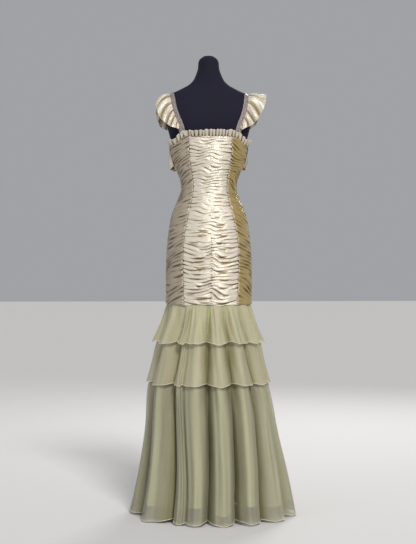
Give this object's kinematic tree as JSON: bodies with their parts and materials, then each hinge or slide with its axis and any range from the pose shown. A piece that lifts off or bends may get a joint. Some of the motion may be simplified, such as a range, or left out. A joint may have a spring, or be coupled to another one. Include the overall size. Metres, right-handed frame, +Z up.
{
  "type": "mermaid gown on a dress form",
  "caption": "Floor-length mermaid gown with a ruched fitted body, gathered cap straps and flounced flared skirt, standing on a limbless dress form.",
  "frame": {"origin": "centre of the round base plate's underside, on the floor", "axes": "+Z up along the stand's pole, -Y the way the gown's front faces, +X the wearer's left"},
  "size_m": [0.5989, 0.5469, 1.64],
  "materials": {
    "satin": "lustrous champagne satin",
    "strap_trim": "fine glittery woven band",
    "organza": "thin pale olive organza",
    "underskirt": "opaque olive satin",
    "jersey": "dark stretched jersey",
    "stand_metal": "satin black paint"
  },
  "bodies": {
    "root": {"back_left": "satin", "back_right": "satin", "side_left": "satin", "side_right": "satin", "front": "satin", "bust_flounce": "satin", "neck_frill_back": "satin", "neck_frill_front": "satin", "strap_left": "strap_trim", "strap_right": "strap_trim", "cap_sleeve_left": "satin", "cap_sleeve_right": "satin", "tier_one_back": "organza", "tier_one_front": "organza", "tier_two_back": "organza", "tier_two_front": "organza", "skirt_back": "organza", "skirt_front": "organza", "underskirt_back": "underskirt", "underskirt_front": "underskirt", "dress_form": "jersey", "stand_pole": "stand_metal", "stand_base": "stand_metal"}
  },
  "joints": []
}
